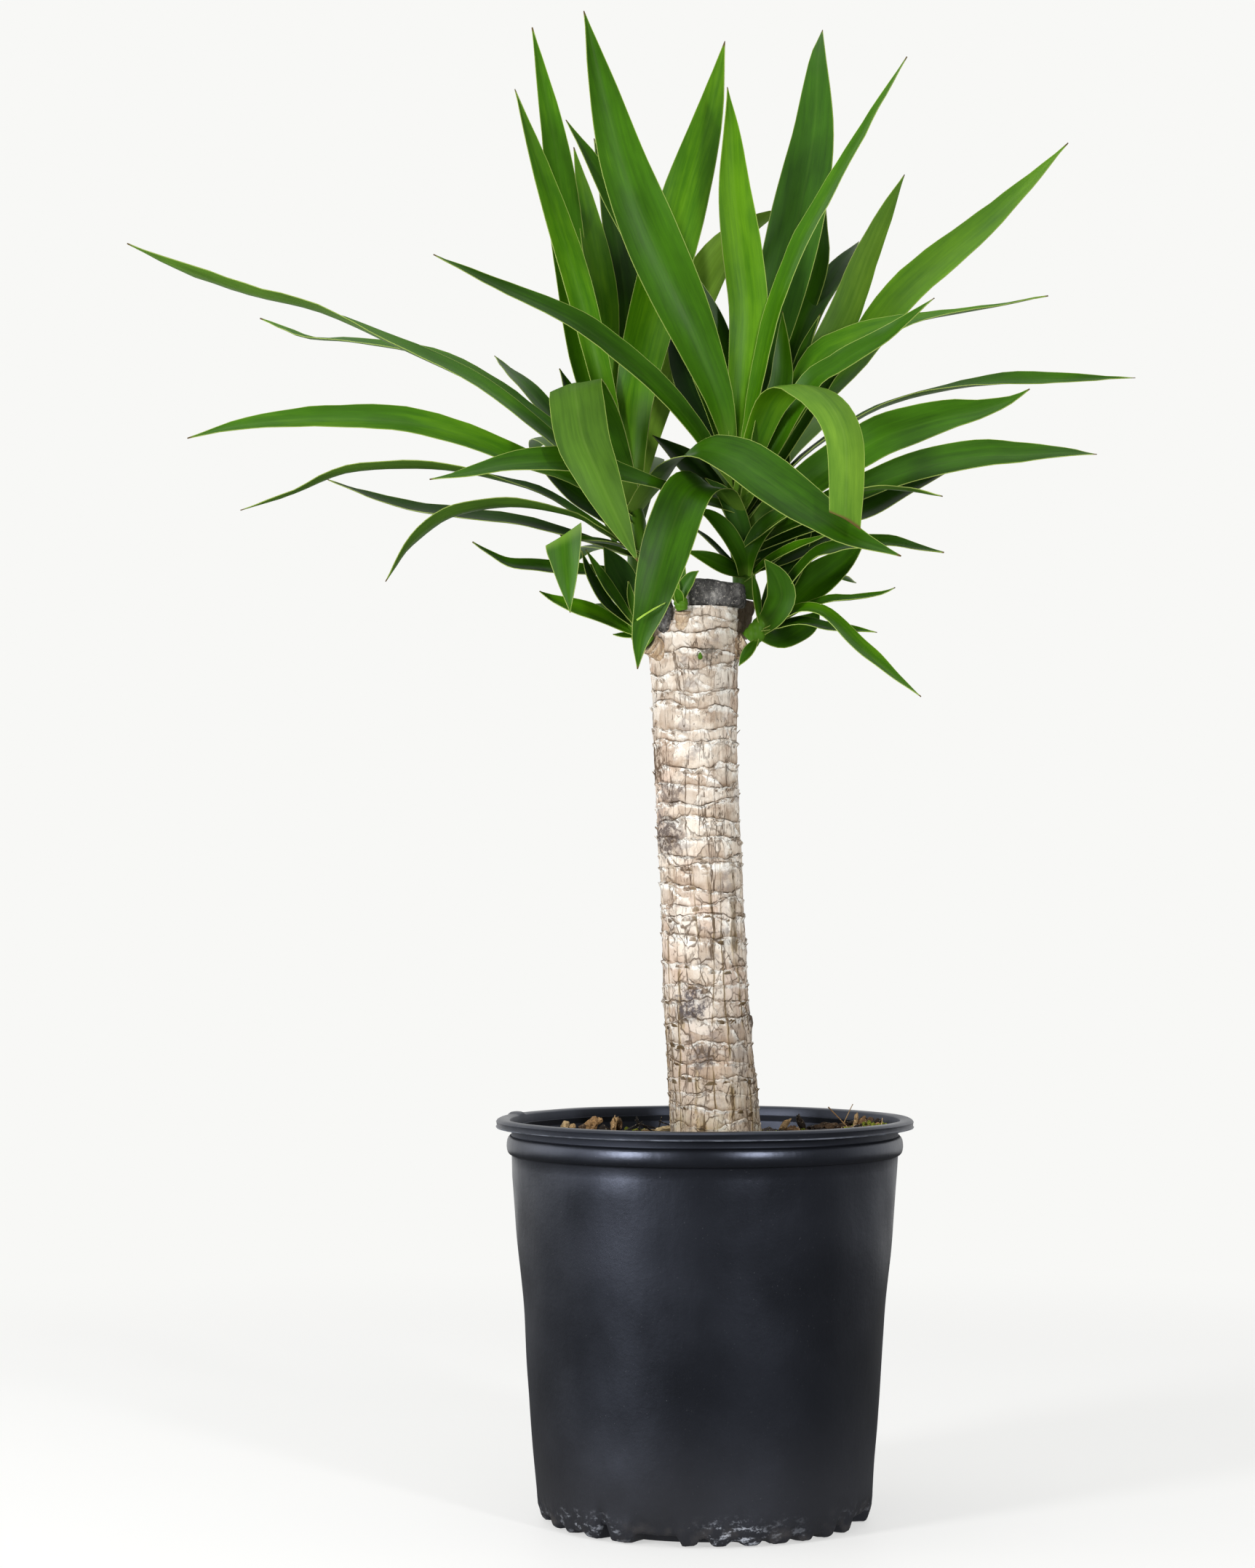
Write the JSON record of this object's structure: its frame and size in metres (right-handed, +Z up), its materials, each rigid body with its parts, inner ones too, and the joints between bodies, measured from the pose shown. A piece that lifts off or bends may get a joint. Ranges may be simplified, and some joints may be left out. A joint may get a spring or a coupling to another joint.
{
  "type": "potted yucca plant",
  "caption": "Cane yucca in a black nursery pot: a thick cut trunk with a waxed top, and sword-shaped leaves in shoots that spring from around its top.",
  "frame": {"origin": "centre of the pot's flat underside", "axes": "+Z up along the trunk, -Y towards the front, +X to the right seen from the front"},
  "size_m": [0.704, 0.3932, 1.0419],
  "materials": {
    "pot_plastic": "satin black moulded plastic",
    "potting_soil": "loose dark soil with bark chips",
    "cane_bark": "dry papery bark with cracks and leaf scars",
    "grey_wax": "dull dark grey wax",
    "leaf_green": "smooth, slightly glossy leaf"
  },
  "bodies": {
    "root": {"pot": "pot_plastic", "soil": "potting_soil", "cane": "cane_bark", "wax_cap": "grey_wax", "wax_patch": "grey_wax", "shoot_left": "leaf_green", "shoot_centre": "leaf_green", "shoot_right": "leaf_green", "shoot_left_low": "leaf_green", "shoot_front": "leaf_green", "shoot_bud": "leaf_green"}
  },
  "joints": []
}
